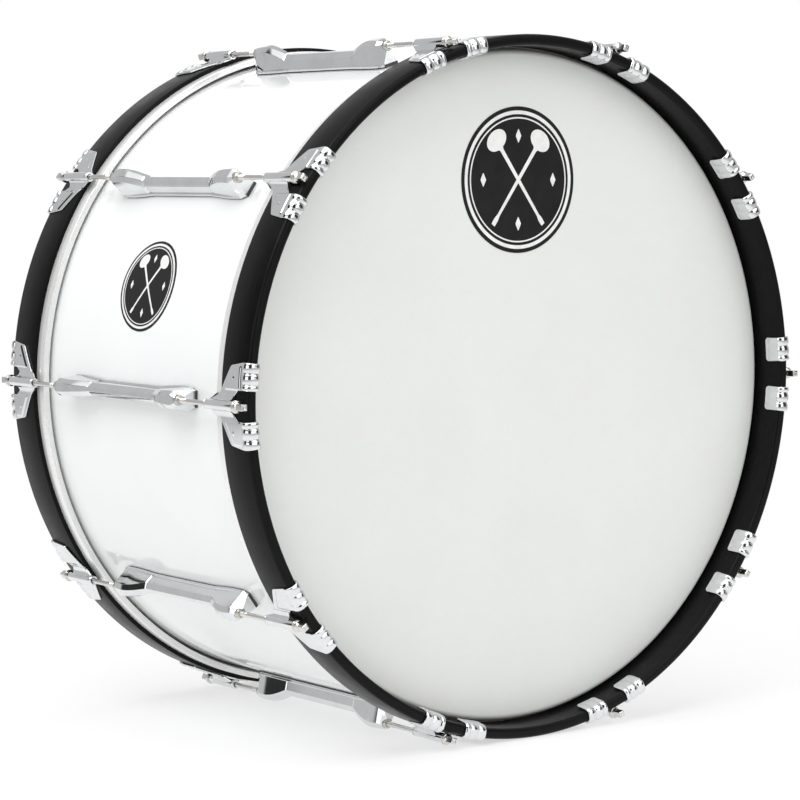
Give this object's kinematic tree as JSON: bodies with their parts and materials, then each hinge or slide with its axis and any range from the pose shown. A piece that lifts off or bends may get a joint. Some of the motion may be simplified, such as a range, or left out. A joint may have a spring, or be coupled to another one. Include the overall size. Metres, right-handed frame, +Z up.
{
  "type": "bass drum",
  "caption": "Marching bass drum: white shell, black wooden hoops, two film heads and key-turned tension rods with claw hooks.",
  "frame": {"origin": "centre of the drum, half way between the two heads on the shell's axis", "axes": "+Y along the shell's axis from the front head, at -Y, to the rear head; +Z up; a lug points along +X"},
  "size_m": [0.71, 0.4306, 0.683],
  "materials": {
    "shell_wood": "satin lacquered plywood",
    "wrap_white": "glossy",
    "grommet_chrome": "polished",
    "emblem_black": "printed, black and white",
    "lug_chrome": "polished",
    "gasket_plastic": "matt dark sheet",
    "nut_brass": "nickel plated nose",
    "retainer_nylon": "matte",
    "screw_steel": "zinc plated",
    "film_white": "smooth white film",
    "flesh_aluminium": "satin",
    "hoop_black": "satin black lacquer",
    "claw_chrome": "polished",
    "washer_steel": "plated",
    "rod_chrome": "polished"
  },
  "bodies": {
    "drum_shell": {"shell": "shell_wood", "shell_wrap": "wrap_white", "vent_grommet": "grommet_chrome", "shell_emblem": "emblem_black", "head_emblem": "emblem_black", "lug_01": "lug_chrome", "lug_02": "lug_chrome", "lug_03": "lug_chrome", "lug_04": "lug_chrome", "lug_05": "lug_chrome", "lug_06": "lug_chrome", "lug_07": "lug_chrome", "lug_08": "lug_chrome", "lug_09": "lug_chrome", "lug_10": "lug_chrome", "lug_gaskets": "gasket_plastic", "swivel_nuts": "nut_brass", "nut_retainers": "retainer_nylon", "lug_screws": "screw_steel", "lug_screw_washers": "screw_steel", "front_film": "film_white", "rear_film": "film_white"},
    "front_rim": {"front_flesh_hoop": "flesh_aluminium", "front_hoop": "hoop_black", "front_claws": "claw_chrome", "front_claw_rings": "claw_chrome", "front_rod_washers": "washer_steel"},
    "front_rod_01": {"front_rod_01": "rod_chrome"},
    "front_rod_02": {"front_rod_02": "rod_chrome"},
    "front_rod_03": {"front_rod_03": "rod_chrome"},
    "front_rod_04": {"front_rod_04": "rod_chrome"},
    "front_rod_05": {"front_rod_05": "rod_chrome"},
    "front_rod_06": {"front_rod_06": "rod_chrome"},
    "front_rod_07": {"front_rod_07": "rod_chrome"},
    "front_rod_08": {"front_rod_08": "rod_chrome"},
    "front_rod_09": {"front_rod_09": "rod_chrome"},
    "front_rod_10": {"front_rod_10": "rod_chrome"},
    "rear_rim": {"rear_flesh_hoop": "flesh_aluminium", "rear_hoop": "hoop_black", "rear_claws": "claw_chrome", "rear_claw_rings": "claw_chrome", "rear_rod_washers": "washer_steel"},
    "rear_rod_01": {"rear_rod_01": "rod_chrome"},
    "rear_rod_02": {"rear_rod_02": "rod_chrome"},
    "rear_rod_03": {"rear_rod_03": "rod_chrome"},
    "rear_rod_04": {"rear_rod_04": "rod_chrome"},
    "rear_rod_05": {"rear_rod_05": "rod_chrome"},
    "rear_rod_06": {"rear_rod_06": "rod_chrome"},
    "rear_rod_07": {"rear_rod_07": "rod_chrome"},
    "rear_rod_08": {"rear_rod_08": "rod_chrome"},
    "rear_rod_09": {"rear_rod_09": "rod_chrome"},
    "rear_rod_10": {"rear_rod_10": "rod_chrome"}
  },
  "joints": [
    {"name": "front_tension", "type": "slide", "parent": "drum_shell", "child": "front_rim", "axis": [0, 1, 0], "range_m": [-0.005, 0.003]},
    {"name": "front_turn_01", "type": "hinge", "parent": "front_rim", "child": "front_rod_01", "pos_m": [0.348, -0.15, 0], "axis": [0, 1, 0], "range_deg": [-1710, 1030]},
    {"name": "front_turn_02", "type": "hinge", "parent": "front_rim", "child": "front_rod_02", "pos_m": [0.28154, -0.15, 0.20455], "axis": [0, 1, 0], "range_deg": [-1710, 1030]},
    {"name": "front_turn_03", "type": "hinge", "parent": "front_rim", "child": "front_rod_03", "pos_m": [0.10754, -0.15, 0.33097], "axis": [0, 1, 0], "range_deg": [-1710, 1030]},
    {"name": "front_turn_04", "type": "hinge", "parent": "front_rim", "child": "front_rod_04", "pos_m": [-0.10754, -0.15, 0.33097], "axis": [0, 1, 0], "range_deg": [-1710, 1030]},
    {"name": "front_turn_05", "type": "hinge", "parent": "front_rim", "child": "front_rod_05", "pos_m": [-0.28154, -0.15, 0.20455], "axis": [0, 1, 0], "range_deg": [-1710, 1030]},
    {"name": "front_turn_06", "type": "hinge", "parent": "front_rim", "child": "front_rod_06", "pos_m": [-0.348, -0.15, 0], "axis": [0, 1, 0], "range_deg": [-1710, 1030]},
    {"name": "front_turn_07", "type": "hinge", "parent": "front_rim", "child": "front_rod_07", "pos_m": [-0.28154, -0.15, -0.20455], "axis": [0, 1, 0], "range_deg": [-1710, 1030]},
    {"name": "front_turn_08", "type": "hinge", "parent": "front_rim", "child": "front_rod_08", "pos_m": [-0.10754, -0.15, -0.33097], "axis": [0, 1, 0], "range_deg": [-1710, 1030]},
    {"name": "front_turn_09", "type": "hinge", "parent": "front_rim", "child": "front_rod_09", "pos_m": [0.10754, -0.15, -0.33097], "axis": [0, 1, 0], "range_deg": [-1710, 1030]},
    {"name": "front_turn_10", "type": "hinge", "parent": "front_rim", "child": "front_rod_10", "pos_m": [0.28154, -0.15, -0.20455], "axis": [0, 1, 0], "range_deg": [-1710, 1030]},
    {"name": "rear_tension", "type": "slide", "parent": "drum_shell", "child": "rear_rim", "axis": [0, -1, 0], "range_m": [-0.005, 0.003]},
    {"name": "rear_turn_01", "type": "hinge", "parent": "rear_rim", "child": "rear_rod_01", "pos_m": [0.348, 0.15, 0], "axis": [0, -1, 0], "range_deg": [-1710, 1030]},
    {"name": "rear_turn_02", "type": "hinge", "parent": "rear_rim", "child": "rear_rod_02", "pos_m": [0.28154, 0.15, 0.20455], "axis": [0, -1, 0], "range_deg": [-1710, 1030]},
    {"name": "rear_turn_03", "type": "hinge", "parent": "rear_rim", "child": "rear_rod_03", "pos_m": [0.10754, 0.15, 0.33097], "axis": [0, -1, 0], "range_deg": [-1710, 1030]},
    {"name": "rear_turn_04", "type": "hinge", "parent": "rear_rim", "child": "rear_rod_04", "pos_m": [-0.10754, 0.15, 0.33097], "axis": [0, -1, 0], "range_deg": [-1710, 1030]},
    {"name": "rear_turn_05", "type": "hinge", "parent": "rear_rim", "child": "rear_rod_05", "pos_m": [-0.28154, 0.15, 0.20455], "axis": [0, -1, 0], "range_deg": [-1710, 1030]},
    {"name": "rear_turn_06", "type": "hinge", "parent": "rear_rim", "child": "rear_rod_06", "pos_m": [-0.348, 0.15, 0], "axis": [0, -1, 0], "range_deg": [-1710, 1030]},
    {"name": "rear_turn_07", "type": "hinge", "parent": "rear_rim", "child": "rear_rod_07", "pos_m": [-0.28154, 0.15, -0.20455], "axis": [0, -1, 0], "range_deg": [-1710, 1030]},
    {"name": "rear_turn_08", "type": "hinge", "parent": "rear_rim", "child": "rear_rod_08", "pos_m": [-0.10754, 0.15, -0.33097], "axis": [0, -1, 0], "range_deg": [-1710, 1030]},
    {"name": "rear_turn_09", "type": "hinge", "parent": "rear_rim", "child": "rear_rod_09", "pos_m": [0.10754, 0.15, -0.33097], "axis": [0, -1, 0], "range_deg": [-1710, 1030]},
    {"name": "rear_turn_10", "type": "hinge", "parent": "rear_rim", "child": "rear_rod_10", "pos_m": [0.28154, 0.15, -0.20455], "axis": [0, -1, 0], "range_deg": [-1710, 1030]}
  ],
  "couplings": [
    {"joint": "front_turn_01", "follows": "front_tension", "rad_per_m": 5936.9},
    {"joint": "front_turn_02", "follows": "front_tension", "rad_per_m": 5936.9},
    {"joint": "front_turn_03", "follows": "front_tension", "rad_per_m": 5936.9},
    {"joint": "front_turn_04", "follows": "front_tension", "rad_per_m": 5936.9},
    {"joint": "front_turn_05", "follows": "front_tension", "rad_per_m": 5936.9},
    {"joint": "front_turn_06", "follows": "front_tension", "rad_per_m": 5936.9},
    {"joint": "front_turn_07", "follows": "front_tension", "rad_per_m": 5936.9},
    {"joint": "front_turn_08", "follows": "front_tension", "rad_per_m": 5936.9},
    {"joint": "front_turn_09", "follows": "front_tension", "rad_per_m": 5936.9},
    {"joint": "front_turn_10", "follows": "front_tension", "rad_per_m": 5936.9},
    {"joint": "rear_turn_01", "follows": "rear_tension", "rad_per_m": 5936.9},
    {"joint": "rear_turn_02", "follows": "rear_tension", "rad_per_m": 5936.9},
    {"joint": "rear_turn_03", "follows": "rear_tension", "rad_per_m": 5936.9},
    {"joint": "rear_turn_04", "follows": "rear_tension", "rad_per_m": 5936.9},
    {"joint": "rear_turn_05", "follows": "rear_tension", "rad_per_m": 5936.9},
    {"joint": "rear_turn_06", "follows": "rear_tension", "rad_per_m": 5936.9},
    {"joint": "rear_turn_07", "follows": "rear_tension", "rad_per_m": 5936.9},
    {"joint": "rear_turn_08", "follows": "rear_tension", "rad_per_m": 5936.9},
    {"joint": "rear_turn_09", "follows": "rear_tension", "rad_per_m": 5936.9},
    {"joint": "rear_turn_10", "follows": "rear_tension", "rad_per_m": 5936.9}
  ]
}
